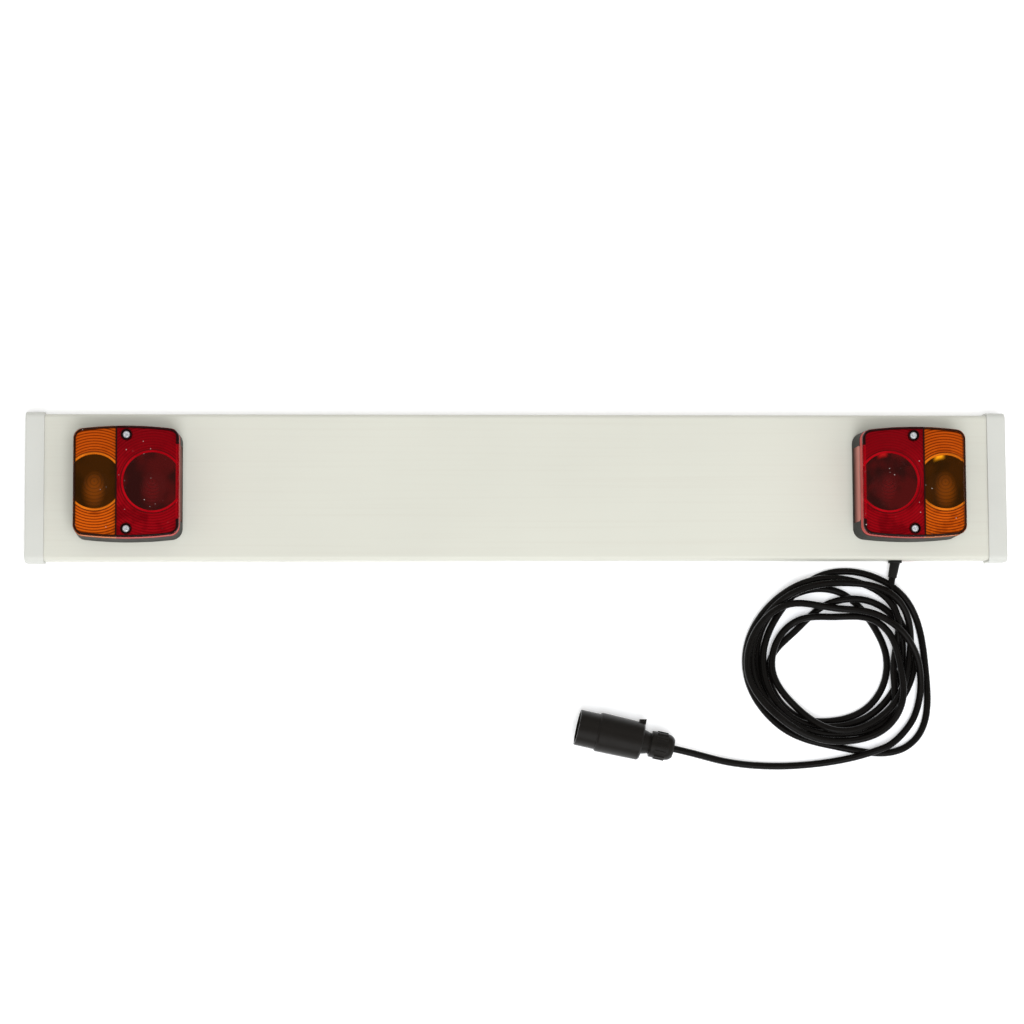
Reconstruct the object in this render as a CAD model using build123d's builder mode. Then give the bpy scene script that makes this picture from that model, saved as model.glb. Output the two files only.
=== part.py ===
"""Trailer lighting board: a white channel with two rear lamps, a coiled cable and a seven-pin plug."""

import os
from math import pi, radians, sqrt, tan

from build123d import *

os.makedirs("parts", exist_ok=True)

# Board: X runs along it, Y up its face, Z out of its face, and its back lies on Z = 0
board_length = 915
panel_height = 136
panel_depth = 25
panel_wall = 2.2
panel_lip = 18
panel_front_radius = 4
push_fit = 0.15

# End caps: a sleeve over the panel's end and a hollow tongue inside it
cap_length = 17.6
cap_wall = 2
cap_end_wall = 2.4
cap_corner_radius = 1.8
cap_tongue_wall = 2
cap_tongue_reach = 12

# Lamps: their sides taper towards the lens, and top and bottom are crowned
lamp_width = 96
lamp_height = 102
lamp_depth = 50
lamp_crown = 3.5
lamp_corner_radius = 9
lamp_draft = 1.5
lamp_wall = 2.4
lamp_end_margin = 48
lamp_rise = 0.7
base_depth = 36
base_floor = 3
bulkhead_wall = 2
seal_thickness = 1.5
seal_margin = 0.3

# Lenses: an amber strip outside and a red part inside, each with a circle over its bulb
amber_width = 39
lens_front = 2.6
lens_edge_radius = 1.6
amber_circle_radius = 24.7
amber_circle_inset = 19.2
red_circle_radius = 26.5
red_circle_inset = 24.2
optic_ring_width = 2
optic_ring_depth = 4
optic_pitch = 2.5
optic_depth = 1.4
optic_root = 0.2
optic_ribs = 11
weld_overlap = 0.3

# Clear window that lights the number plate, in the lamp's side that faces the board's middle
window_end_margin = 16
window_sill = 4
window_head = 3

# Lens screws, one above the other, in pillars of the base
fixing_from_divide = 9
screw_edge_margin = 8
screw_diameter = 3.6
screw_length = 24
screw_head_diameter = 6.6
screw_head_height = 2.4
screw_head_bevel = 1.1
screw_recess_diameter = 9
screw_recess_depth = 4
screw_pillar_diameter = 11
screw_fit = 0.1

# Bolts that hold a lamp on the panel, in line with the lens screws
bolt_from_screw = 18
bolt_diameter = 6
bolt_head_across = 10
bolt_head_height = 4
bolt_overhang = 2
washer_diameter = 14
washer_thickness = 1.2
nut_height = 5
bolt_fit = 0.2

# Bayonet bulbs, lying along Y, and their holders
bulb_glass_diameter = 26
bulb_neck_diameter = 13.6
bulb_cap_diameter = 15
bulb_cap_length = 18.5
bulb_cap_bevel = 1.5
bulb_tip_diameter = 6
bulb_reach = 39
bulb_rise = 18
holder_gap = 0.3
holder_wall_gap = 7.1
holder_sheet = 1.2
holder_width = 20
holder_height = 27
holder_foot = 12
holder_sleeve_wall = 0.8
holder_sleeve_length = 15

# Leads behind the panel, their grommets and clips
cable_diameter = 6.5
link_diameter = 5
first_lead_hole_inset = 26
second_lead_hole_inset = 10
lead_hole_drop = 16
lead_hole_diameter = 11
grommet_flange_diameter = 14
grommet_flange = 1.5
lead_fit = 0.1
lead_stub = 9
link_drop = 10.4
lead_bend_radius = 8
feed_straight = 14
feed_slant = 30
feed_slant_radius = 20
clip_spacing = 165
clip_count = 4
clip_width = 8
clip_wall = 1.5
clip_stem = 4
clip_pad_length = 14
clip_pad = 1.6

# Cable gland in the panel's lower wall
gland_from_end = 104
gland_below_middle = 0.5
gland_sleeve_wall = 2
gland_flange_diameter = 13
gland_flange = 2.3
gland_collar = 2
gland_root_wall = 1.5
gland_tip_wall = 0.8
gland_neck_share = 0.6

# Cable, as offsets from the gland: leading in, then on the floor with heights above it
bend_share = 0.45
lead_in_route = [(0, 8, 0), (0, -3, 0), (-2.5, -14, -0.3), (-3.9, -23, -1), (-3.3, -31.9, -2.4)]
lead_out_route = [
    (-4.5, -172, 9),
    (-21, -178.2, 8),
    (-42.5, -184.5, 5.8),
    (-71.5, -189.5, 3.6),
    (-105.5, -192, 3.5),
    (-136.5, -191, 3.8),
    (-161.5, -187.5, 7.5),
    (-181.5, -182.5, 14),
    (-198.1, -178.1, 18.5),
    (-211.7, -175, 18.5),
]
coil_outline = [
    (34, -110),
    (28, -156),
    (6, -179),
    (-40, -178),
    (-95, -163),
    (-132, -137),
    (-146, -100),
    (-143, -64),
    (-113, -31),
    (-80, -10),
    (-32, -5),
    (3, -31),
    (20, -62),
]
coil_hole_centre = (-60, -100.5)
coil_hole_radii = (52.5, 46.5)
coil_bottom = 0.2
coil_height = 14
coil_edge_radius = 4

# Plug, in line with the end of the cable and measured from where the cable enters it
plug_nut_length = 21.5
plug_nut_diameter = 24.4
plug_nut_end_diameter = 17
plug_nut_ribs = 12
plug_nut_rib_width = 2.4
plug_nut_rib_height = 0.9
plug_nut_rib_length = 10
plug_nut_roof = 7
plug_spigot_diameter = 19
plug_spigot_wall = 3
plug_thread_gap = 3
plug_shoulder_length = 5.5
plug_shoulder_front = 23.4
plug_shoulder_rear = 20.2
plug_body_length = 42
plug_body_front = 36.4
plug_body_rear = 35
plug_body_bevel = 1.5
plug_sleeve_length = 19
plug_sleeve_diameter = 33.2
plug_bore = 28.4
plug_bore_depth = 50
plug_lug_reach = 3.6
plug_lug_length = 6
plug_lug_width = 9
plug_lug_taper = 12
carrier_length = 22
contact_diameter = 5
contact_edge_margin = 4.7
contact_count = 6
contact_reach = 10
contact_bevel = 1.2
contact_tail = 5
plug_seal_length = 11
plug_fit = 0.1

# Places worked out from the sizes above
half_length = board_length / 2
panel_bottom = -panel_height / 2
panel_inside = panel_depth - panel_wall
panel_length = board_length - 2 * (cap_end_wall + push_fit)
cap_seam = half_length - cap_length
cap_proud = push_fit + cap_wall
lamp_x = half_length - lamp_end_margin - lamp_width / 2
lens_base = base_depth + seal_thickness
divide = lamp_width / 2 - amber_width
amber_circle = lamp_width / 2 - amber_circle_inset
red_circle = red_circle_inset - lamp_width / 2
fixing = divide - fixing_from_divide
screw_rise = lamp_height / 2 - screw_edge_margin
screw_seat = lamp_depth - screw_recess_depth
bolt_rise = screw_rise - bolt_from_screw
window_length = lamp_height - 2 * window_end_margin
window_height = base_depth - window_sill - window_head
window_cut = 4 * lamp_wall
bulb_height = base_floor + bulb_rise
holder_back = lamp_wall + holder_wall_gap + holder_sheet - lamp_height / 2
bulb_centre = holder_back + holder_gap + bulb_reach
first_lead_hole = first_lead_hole_inset - lamp_width / 2
second_lead_hole = second_lead_hole_inset - lamp_width / 2
lead_hole_rise = lamp_height / 2 - lead_hole_drop
gland_x = half_length - gland_from_end
gland_height = panel_depth / 2 - gland_below_middle
gland_hole_diameter = cable_diameter + 2 * gland_sleeve_wall
link_height = panel_inside - link_drop
contact_circle_radius = plug_bore / 2 - contact_edge_margin
gland_plane = Plane((gland_x, panel_bottom, gland_height), x_dir=(1, 0, 0), z_dir=(0, -1, 0))
sides = {"left": -1, "right": 1}
lamp_planes = {name: Plane((side * lamp_x, lamp_rise, panel_depth)) for name, side in sides.items()}
screw_places = {
    name: [(side * fixing, -screw_rise), (side * fixing, screw_rise)] for name, side in sides.items()
}
bolt_places = {
    name: [(side * fixing, -bolt_rise), (side * fixing, bolt_rise)] for name, side in sides.items()
}
lead_holes = {
    "left": {"link_grommet_left": (first_lead_hole, link_diameter)},
    "right": {
        "feed_grommet_right": (first_lead_hole, cable_diameter),
        "link_grommet_right": (second_lead_hole, link_diameter),
    },
}


def lamp_outline(height, inset=0):
    """Crowned outline of a lamp at a height above the panel, inset from its outer face."""
    grow = (lamp_depth - height) * tan(radians(lamp_draft)) - inset
    half_width = lamp_width / 2 + grow
    half_height = lamp_height / 2 + grow
    with BuildSketch() as outline:
        with BuildLine():
            inner = Line((-half_width, half_height - lamp_crown), (-half_width, lamp_crown - half_height))
            outer = Line((half_width, lamp_crown - half_height), (half_width, half_height - lamp_crown))
            ThreePointArc(inner @ 1, (0, -half_height), outer @ 0)
            ThreePointArc(outer @ 1, (0, half_height), inner @ 0)
        make_face()
        fillet(outline.vertices(), lamp_corner_radius + grow)
    return outline.sketch


def lens_optic(lamp, side, circle, radius, middle):
    """Ring round the bulb's circle and the saw-tooth ribs outside it, on the inner face of a lens."""
    inner_face = lamp.offset(lamp_depth - lens_front)
    axis_point = inner_face.from_local_coords((side * circle, 0, 0))
    teeth_start = radius + optic_ring_width
    teeth_end = teeth_start + optic_ribs * optic_pitch
    teeth = [(radius, weld_overlap), (radius, -optic_ring_depth), (teeth_start, -optic_ring_depth)]
    for rib in range(optic_ribs):
        rib_start = teeth_start + rib * optic_pitch
        teeth += [(rib_start, -optic_depth), (rib_start + optic_pitch, -optic_root)]
    with BuildPart() as optic:
        with BuildSketch(Plane(axis_point, x_dir=(1, 0, 0), z_dir=(0, -1, 0))):
            with BuildLine():
                Polyline(*teeth, (teeth_end, weld_overlap), close=True)
            make_face()
        revolve(axis=Axis(axis_point, (0, 0, 1)))
        with BuildSketch(lamp.offset(lens_base)):
            add(lamp_outline(lens_base, lamp_wall - weld_overlap))
            with Locations((side * middle, 0)):
                Rectangle(lamp_width - 2 * weld_overlap, 2 * lamp_height, mode=Mode.INTERSECT)
        extrude(amount=lamp_depth - lens_base, mode=Mode.INTERSECT)
    return optic.part


def bend_radii(points):
    """Tangent arc at each inner point, as large as its shorter run allows."""
    radii = []
    for before, here, after in zip(points, points[1:], points[2:]):
        run_in = Vector(here) - Vector(before)
        run_out = Vector(after) - Vector(here)
        half_turn = radians(run_in.get_angle(run_out)) / 2
        radii.append(bend_share * min(run_in.length, run_out.length) / tan(half_turn))
    return radii


with BuildPart() as board_panel:
    with BuildSketch(Plane.YZ) as panel_section:
        Rectangle(panel_height, panel_depth, align=(Align.CENTER, Align.MIN))
        fillet(panel_section.vertices().group_by(Axis.Y)[-1], panel_front_radius)
        offset(amount=-panel_wall, mode=Mode.SUBTRACT)
        Rectangle(
            panel_height - 2 * panel_lip,
            2 * panel_wall,
            align=(Align.CENTER, Align.MIN),
            mode=Mode.SUBTRACT,
        )
    extrude(amount=panel_length / 2, both=True)
    for name, side in sides.items():
        with BuildSketch(lamp_planes[name]):
            with Locations(*bolt_places[name]):
                Circle(bolt_diameter / 2 + bolt_fit)
            for outward, _ in lead_holes[name].values():
                with Locations((side * outward, lead_hole_rise)):
                    Circle(lead_hole_diameter / 2)
        extrude(amount=-2 * panel_wall, mode=Mode.SUBTRACT)
    with BuildSketch(gland_plane):
        Circle(gland_hole_diameter / 2)
    extrude(amount=-2 * panel_wall, mode=Mode.SUBTRACT)
board_panel.part.label = "board_panel"
export_step(board_panel.part, "parts/board_panel.step")

for name, side in sides.items():
    cap_plane = Plane((side * cap_seam, 0, 0), x_dir=(0, side, 0), z_dir=(side, 0, 0))
    with BuildPart() as end_cap:
        with BuildSketch(cap_plane) as cap_section:
            Rectangle(panel_height + 2 * cap_proud, panel_depth + cap_proud, align=(Align.CENTER, Align.MIN))
            fillet(cap_section.vertices().group_by(Axis.Y)[-1], panel_front_radius + cap_proud)
        extrude(amount=cap_length)
        cap_end = end_cap.faces().sort_by(Axis((0, 0, 0), (side, 0, 0)))[-1]
        fillet(cap_end.edges().sort_by(Axis.Z)[1:], cap_corner_radius)
        with BuildSketch(cap_plane) as cap_pocket:
            Rectangle(
                panel_height + 2 * push_fit, panel_depth + push_fit, align=(Align.CENTER, Align.MIN)
            )
            fillet(cap_pocket.vertices().group_by(Axis.Y)[-1], panel_front_radius + push_fit)
        extrude(amount=cap_length - cap_end_wall, mode=Mode.SUBTRACT)
        with BuildSketch(cap_plane.offset(cap_length - cap_end_wall + weld_overlap)) as cap_tongue:
            with Locations((0, panel_depth / 2)):
                Rectangle(
                    panel_height - 2 * (panel_wall + push_fit), panel_depth - 2 * (panel_wall + push_fit)
                )
            fillet(cap_tongue.vertices().group_by(Axis.Y)[-1], panel_front_radius - panel_wall)
            offset(amount=-cap_tongue_wall, mode=Mode.SUBTRACT)
        extrude(amount=-(cap_length - cap_end_wall + weld_overlap + cap_tongue_reach))
    end_cap.part.label = f"{name}_end_cap"
    export_step(end_cap.part, f"parts/{name}_end_cap.step")

for name, side in sides.items():
    lamp = lamp_planes[name]
    window_place = (-side * lamp_width / 2, 0)
    with BuildPart() as lamp_base:
        with BuildSketch(lamp):
            add(lamp_outline(0))
        extrude(amount=base_depth, taper=lamp_draft)
        with BuildSketch(lamp.offset(base_floor)):
            add(lamp_outline(base_floor, lamp_wall))
        extrude(amount=base_depth - base_floor, taper=lamp_draft, mode=Mode.SUBTRACT)
        with BuildSketch(lamp.offset(base_floor - weld_overlap)):
            with Locations((side * divide, 0)):
                Rectangle(bulkhead_wall, lamp_height - lamp_wall)
            with Locations(*screw_places[name]):
                Circle(screw_pillar_diameter / 2)
        extrude(amount=base_depth - base_floor + weld_overlap)
        with BuildSketch(lamp):
            with Locations(*bolt_places[name]):
                Circle(bolt_diameter / 2 + bolt_fit)
            for outward, _ in lead_holes[name].values():
                with Locations((side * outward, lead_hole_rise)):
                    Circle(lead_hole_diameter / 2)
        extrude(amount=base_floor, mode=Mode.SUBTRACT)
        with BuildSketch(lamp.offset(screw_seat - screw_length)):
            with Locations(*screw_places[name]):
                Circle(screw_diameter / 2 + screw_fit)
        extrude(amount=screw_length, mode=Mode.SUBTRACT)
        with BuildSketch(lamp.offset(window_sill)):
            with Locations(window_place):
                Rectangle(window_cut, window_length)
        extrude(amount=window_height, mode=Mode.SUBTRACT)
    lamp_base.part.label = f"lamp_base_{name}"
    export_step(lamp_base.part, f"parts/lamp_base_{name}.step")

    with BuildPart() as plate_lamp_window:
        with BuildSketch(lamp):
            add(lamp_outline(0))
        extrude(amount=base_depth, taper=lamp_draft)
        with BuildSketch(lamp):
            add(lamp_outline(0, lamp_wall))
        extrude(amount=base_depth, taper=lamp_draft, mode=Mode.SUBTRACT)
        with BuildSketch(lamp.offset(window_sill + push_fit)):
            with Locations(window_place):
                Rectangle(window_cut, window_length - 2 * push_fit)
        extrude(amount=window_height - 2 * push_fit, mode=Mode.INTERSECT)
    plate_lamp_window.part.label = f"plate_lamp_window_{name}"
    export_step(plate_lamp_window.part, f"parts/plate_lamp_window_{name}.step")

    with BuildPart() as lens_seal:
        with BuildSketch(lamp.offset(base_depth)):
            add(lamp_outline(base_depth, seal_margin))
            add(lamp_outline(base_depth, lamp_wall), mode=Mode.SUBTRACT)
        extrude(amount=seal_thickness)
    lens_seal.part.label = f"lens_seal_{name}"
    export_step(lens_seal.part, f"parts/lens_seal_{name}.step")

    lens_kinds = {
        "amber": (Keep.TOP, amber_circle, amber_circle_radius, divide + lamp_width / 2),
        "red": (Keep.BOTTOM, red_circle, red_circle_radius, divide - lamp_width / 2),
    }
    for colour, (kept_half, circle, circle_radius, middle) in lens_kinds.items():
        with BuildPart() as lens:
            with BuildSketch(lamp.offset(lens_base)):
                add(lamp_outline(lens_base))
            extrude(amount=lamp_depth - lens_base, taper=lamp_draft)
            fillet(lens.faces().sort_by(Axis.Z)[-1].edges(), lens_edge_radius)
            with BuildSketch(lamp.offset(lens_base)):
                add(lamp_outline(lens_base, lamp_wall))
            extrude(amount=lamp_depth - lens_base - lens_front, taper=lamp_draft, mode=Mode.SUBTRACT)
            split(bisect_by=Plane((side * (lamp_x + divide), 0, 0), z_dir=(side, 0, 0)), keep=kept_half)
            add(lens_optic(lamp, side, circle, circle_radius, middle))
            if colour == "red":
                with BuildSketch(lamp.offset(lens_base)):
                    with Locations(*screw_places[name]):
                        Circle(screw_pillar_diameter / 2)
                    add(lamp_outline(lens_base, weld_overlap + seal_margin), mode=Mode.INTERSECT)
                extrude(amount=lamp_depth - lens_base - lens_front + weld_overlap)
                with BuildSketch(lamp.offset(screw_seat)):
                    with Locations(*screw_places[name]):
                        Circle(screw_recess_diameter / 2)
                extrude(amount=screw_recess_depth, mode=Mode.SUBTRACT)
                with BuildSketch(lamp.offset(lens_base)):
                    with Locations(*screw_places[name]):
                        Circle(screw_diameter / 2 + screw_fit)
                extrude(amount=screw_seat - lens_base, mode=Mode.SUBTRACT)
        lens.part.label = f"{colour}_lens_{name}"
        export_step(lens.part, f"parts/{colour}_lens_{name}.step")

    with BuildPart() as lens_screws:
        with BuildSketch(lamp.offset(screw_seat)):
            with Locations(*screw_places[name]):
                Circle(screw_head_diameter / 2)
        extrude(amount=screw_head_height)
        chamfer(lens_screws.faces().group_by(Axis.Z)[-1].edges(), screw_head_bevel)
        with BuildSketch(lamp.offset(screw_seat)):
            with Locations(*screw_places[name]):
                Circle(screw_diameter / 2)
        extrude(amount=-screw_length)
    lens_screws.part.label = f"lens_screws_{name}"
    export_step(lens_screws.part, f"parts/lens_screws_{name}.step")

    for kind, circle in {"indicator": amber_circle, "stop_tail": red_circle}.items():
        glass_radius = bulb_glass_diameter / 2
        neck_radius = bulb_neck_diameter / 2
        cap_radius = bulb_cap_diameter / 2
        glass_centre = lamp.from_local_coords((side * circle, bulb_centre, bulb_height))
        with BuildPart() as bulb:
            with BuildSketch(Plane(glass_centre, x_dir=(0, 1, 0), z_dir=(1, 0, 0))):
                with BuildLine():
                    cap_line = Polyline(
                        (-bulb_reach, 0),
                        (-bulb_reach, bulb_tip_diameter / 2),
                        (-bulb_reach + bulb_cap_bevel, cap_radius),
                        (-bulb_reach + bulb_cap_length, cap_radius),
                        (-bulb_reach + bulb_cap_length, neck_radius),
                        (-sqrt(glass_radius**2 - neck_radius**2), neck_radius),
                    )
                    ThreePointArc(cap_line @ 1, (0, glass_radius), (glass_radius, 0))
                    Line((glass_radius, 0), cap_line @ 0)
                make_face()
            revolve(axis=Axis(glass_centre, (0, 1, 0)))
        bulb.part.label = f"{kind}_bulb_{name}"
        export_step(bulb.part, f"parts/{kind}_bulb_{name}.step")

        holder_place = lamp.from_local_coords((side * circle, holder_back, base_floor))
        holder_plane = Plane(holder_place, x_dir=(1, 0, 0), z_dir=(0, -1, 0))
        with BuildPart() as bulb_holder:
            with BuildSketch(holder_plane):
                Rectangle(holder_width, holder_height, align=(Align.CENTER, Align.MIN))
            extrude(amount=holder_sheet)
            with BuildSketch(holder_plane):
                Rectangle(holder_width, holder_sheet, align=(Align.CENTER, Align.MIN))
            extrude(amount=-holder_foot)
            with BuildSketch(holder_plane):
                with Locations((0, bulb_rise)):
                    Circle(cap_radius + push_fit + holder_sleeve_wall)
                    Circle(cap_radius + push_fit, mode=Mode.SUBTRACT)
            extrude(amount=-holder_sleeve_length)
        bulb_holder.part.label = f"{kind}_bulb_holder_{name}"
        export_step(bulb_holder.part, f"parts/{kind}_bulb_holder_{name}.step")

    with BuildPart() as base_bolts:
        with BuildSketch(lamp.offset(base_floor)):
            with Locations(*bolt_places[name]):
                RegularPolygon(bolt_head_across / 2, side_count=6, major_radius=False)
        extrude(amount=bolt_head_height)
        with BuildSketch(lamp.offset(base_floor)):
            with Locations(*bolt_places[name]):
                Circle(bolt_diameter / 2)
        extrude(amount=-(base_floor + panel_wall + washer_thickness + nut_height + bolt_overhang))
    base_bolts.part.label = f"base_bolts_{name}"
    export_step(base_bolts.part, f"parts/base_bolts_{name}.step")

    with BuildPart() as base_washers:
        with BuildSketch(lamp.offset(-panel_wall)):
            with Locations(*bolt_places[name]):
                Circle(washer_diameter / 2)
                Circle(bolt_diameter / 2 + bolt_fit, mode=Mode.SUBTRACT)
        extrude(amount=-washer_thickness)
    base_washers.part.label = f"base_washers_{name}"
    export_step(base_washers.part, f"parts/base_washers_{name}.step")

    with BuildPart() as base_nuts:
        with BuildSketch(lamp.offset(-panel_wall - washer_thickness)):
            with Locations(*bolt_places[name]):
                RegularPolygon(bolt_head_across / 2, side_count=6, major_radius=False)
                Circle(bolt_diameter / 2 + bolt_fit / 2, mode=Mode.SUBTRACT)
        extrude(amount=-nut_height)
    base_nuts.part.label = f"base_nuts_{name}"
    export_step(base_nuts.part, f"parts/base_nuts_{name}.step")

    for grommet_name, (outward, lead_diameter) in lead_holes[name].items():
        hole_centre = lamp.from_local_coords((side * outward, lead_hole_rise, 0))
        flange_radius = grommet_flange_diameter / 2
        groove_radius = lead_hole_diameter / 2 - push_fit
        bore_radius = lead_diameter / 2 + lead_fit
        with BuildPart() as grommet:
            with BuildSketch(Plane(hole_centre, x_dir=(1, 0, 0), z_dir=(0, -1, 0))):
                with BuildLine():
                    Polyline(
                        (bore_radius, -panel_wall - grommet_flange),
                        (flange_radius, -panel_wall - grommet_flange),
                        (flange_radius, -panel_wall),
                        (groove_radius, -panel_wall),
                        (groove_radius, base_floor),
                        (flange_radius, base_floor),
                        (flange_radius, base_floor + grommet_flange),
                        (bore_radius, base_floor + grommet_flange),
                        close=True,
                    )
                make_face()
            revolve(axis=Axis(hole_centre, (0, 0, 1)))
        grommet.part.label = grommet_name
        export_step(grommet.part, f"parts/{grommet_name}.step")

lead_in_points = [(gland_x + x, panel_bottom + y, gland_height + z) for x, y, z in lead_in_route]
print("lead in bend radii", [round(radius) for radius in bend_radii(lead_in_points)])
with BuildPart() as cable_lead_in:
    with BuildLine() as lead_in_line:
        FilletPolyline(*lead_in_points, radius=bend_radii(lead_in_points))
    with BuildSketch(Plane(lead_in_line.line @ 0, z_dir=lead_in_line.line % 0)):
        Circle(cable_diameter / 2)
    sweep()
cable_lead_in.part.label = "cable_lead_in"
export_step(cable_lead_in.part, "parts/cable_lead_in.step")

lead_out_points = [(gland_x + x, panel_bottom + y, z) for x, y, z in lead_out_route]
print("lead out bend radii", [round(radius) for radius in bend_radii(lead_out_points)])
with BuildPart() as cable_lead_out:
    with BuildLine() as lead_out_line:
        FilletPolyline(*lead_out_points, radius=bend_radii(lead_out_points))
    with BuildSketch(Plane(lead_out_line.line @ 0, z_dir=lead_out_line.line % 0)):
        Circle(cable_diameter / 2)
    sweep()
cable_lead_out.part.label = "cable_lead_out"
export_step(cable_lead_out.part, "parts/cable_lead_out.step")

tube_area = pi * cable_diameter**2 / 4
for tube, line in ((cable_lead_in, lead_in_line), (cable_lead_out, lead_out_line)):
    tube_length = line.wires()[0].length
    volume_ratio = tube.part.volume / (tube_area * tube_length)
    print(tube.part.label, "length", round(tube_length), "volume ratio", round(volume_ratio, 4))

with BuildPart() as cable_coil:
    with BuildSketch(Plane((gland_x, panel_bottom, coil_bottom))):
        with BuildLine():
            Spline(*coil_outline, periodic=True)
        make_face()
        with Locations(coil_hole_centre):
            Ellipse(*coil_hole_radii, mode=Mode.SUBTRACT)
    extrude(amount=coil_height)
    fillet(cable_coil.edges().filter_by(Plane.XY), coil_edge_radius)
    add(cable_lead_in.part, mode=Mode.SUBTRACT)
    add(cable_lead_out.part, mode=Mode.SUBTRACT)
cable_coil.part.label = "cable_coil"
export_step(cable_coil.part, "parts/cable_coil.step")

neck_tip_point = lead_in_line.line @ gland_neck_share
with BuildPart() as cable_gland:
    with BuildSketch(gland_plane):
        Circle(gland_flange_diameter / 2)
    extrude(amount=gland_flange)
    with BuildSketch(gland_plane):
        Circle(gland_hole_diameter / 2 - push_fit)
    extrude(amount=-panel_wall)
    with BuildSketch(gland_plane.offset(-panel_wall)):
        Circle(gland_flange_diameter / 2)
    extrude(amount=-gland_collar)
    with BuildSketch(gland_plane.offset(gland_flange)):
        Circle(cable_diameter / 2 + gland_root_wall)
    with BuildSketch(Plane(neck_tip_point, z_dir=lead_in_line.line % gland_neck_share)):
        Circle(cable_diameter / 2 + gland_tip_wall)
    loft()
    add(cable_lead_in.part, mode=Mode.SUBTRACT)
cable_gland.part.label = "cable_gland"
export_step(cable_gland.part, "parts/cable_gland.step")

plug_rear = Vector(lead_out_points[-1])
plug_forward = (plug_rear - Vector(lead_out_points[-2])).normalized()
plug_axis = Axis(plug_rear, plug_forward)
plug_plane = Plane(plug_rear, x_dir=(0, 0, 1), z_dir=plug_forward)
plug_section = Plane(plug_rear, x_dir=(0, 0, 1), z_dir=Vector(0, 0, 1).cross(plug_forward))
shoulder_start = plug_nut_length + plug_thread_gap
body_start = shoulder_start + plug_shoulder_length
sleeve_start = body_start + plug_body_length
plug_length = sleeve_start + plug_sleeve_length
spigot_start = plug_nut_roof + plug_fit
spigot_bore = plug_spigot_diameter - 2 * plug_spigot_wall
bore_start = plug_length - plug_bore_depth
carrier_front = sleeve_start
carrier_rear = carrier_front - carrier_length

with BuildPart() as plug_shell:
    with BuildSketch(plug_section):
        with BuildLine():
            Polyline(
                (spigot_bore / 2, spigot_start),
                (plug_spigot_diameter / 2, spigot_start),
                (plug_spigot_diameter / 2, shoulder_start),
                (plug_shoulder_rear / 2, shoulder_start),
                (plug_shoulder_front / 2, body_start),
                (plug_body_rear / 2 - plug_body_bevel, body_start),
                (plug_body_rear / 2, body_start + plug_body_bevel),
                (plug_body_front / 2, sleeve_start - plug_body_bevel),
                (plug_body_front / 2 - plug_body_bevel / 2, sleeve_start),
                (plug_sleeve_diameter / 2, sleeve_start),
                (plug_sleeve_diameter / 2, plug_length),
                (plug_bore / 2, plug_length),
                (plug_bore / 2, bore_start),
                (spigot_bore / 2, bore_start),
                close=True,
            )
        make_face()
    revolve(axis=plug_axis)
    with BuildSketch(plug_plane.offset(body_start)):
        with Locations((0, plug_body_rear / 2)):
            Rectangle(plug_lug_width, 2 * plug_lug_reach)
    extrude(amount=plug_lug_length, taper=plug_lug_taper)
plug_shell.part.label = "plug_shell"
export_step(plug_shell.part, "parts/plug_shell.step")

with BuildPart() as plug_gland_nut:
    with BuildSketch(plug_section):
        with BuildLine():
            nut_line = Polyline(
                (plug_nut_diameter / 2, plug_nut_roof),
                (plug_nut_diameter / 2, plug_nut_length),
                (plug_spigot_diameter / 2 + plug_fit, plug_nut_length),
                (plug_spigot_diameter / 2 + plug_fit, plug_nut_roof),
                (cable_diameter / 2 + plug_fit, plug_nut_roof),
                (cable_diameter / 2 + plug_fit, 0),
                (plug_nut_end_diameter / 2, 0),
            )
            TangentArc(nut_line @ 0, nut_line @ 1, tangent=(0, -1))
        make_face()
    revolve(axis=plug_axis)
    with BuildSketch(plug_plane.offset(plug_nut_roof)):
        with PolarLocations(plug_nut_diameter / 2, plug_nut_ribs):
            Rectangle(2 * plug_nut_rib_height, plug_nut_rib_width)
    extrude(amount=plug_nut_rib_length)
plug_gland_nut.part.label = "plug_gland_nut"
export_step(plug_gland_nut.part, "parts/plug_gland_nut.step")

with BuildPart() as plug_cable_seal:
    with BuildSketch(plug_plane.offset(plug_nut_roof)):
        Circle(spigot_bore / 2 - plug_fit)
        Circle(cable_diameter / 2 + plug_fit, mode=Mode.SUBTRACT)
    extrude(amount=plug_seal_length)
plug_cable_seal.part.label = "plug_cable_seal"
export_step(plug_cable_seal.part, "parts/plug_cable_seal.step")

with BuildPart() as plug_cable_end:
    with BuildSketch(plug_plane):
        Circle(cable_diameter / 2)
    extrude(amount=carrier_rear - contact_tail)
plug_cable_end.part.label = "plug_cable_end"
export_step(plug_cable_end.part, "parts/plug_cable_end.step")

with BuildPart() as plug_contact_carrier:
    with BuildSketch(plug_plane.offset(carrier_rear)):
        Circle(plug_bore / 2 - plug_fit)
        Circle(contact_diameter / 2 + plug_fit, mode=Mode.SUBTRACT)
        with PolarLocations(contact_circle_radius, contact_count):
            Circle(contact_diameter / 2 + plug_fit, mode=Mode.SUBTRACT)
    extrude(amount=carrier_length)
plug_contact_carrier.part.label = "plug_contact_carrier"
export_step(plug_contact_carrier.part, "parts/plug_contact_carrier.step")

with BuildPart() as plug_contacts:
    with BuildSketch(plug_plane.offset(carrier_rear)):
        Circle(contact_diameter / 2)
        with PolarLocations(contact_circle_radius, contact_count):
            Circle(contact_diameter / 2)
    extrude(amount=carrier_length + contact_reach)
    contact_tips = plug_contacts.faces().group_by(plug_axis)[-1]
    chamfer(contact_tips.edges(), contact_bevel)
plug_contacts.part.label = "plug_contacts"
export_step(plug_contacts.part, "parts/plug_contacts.step")

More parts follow.
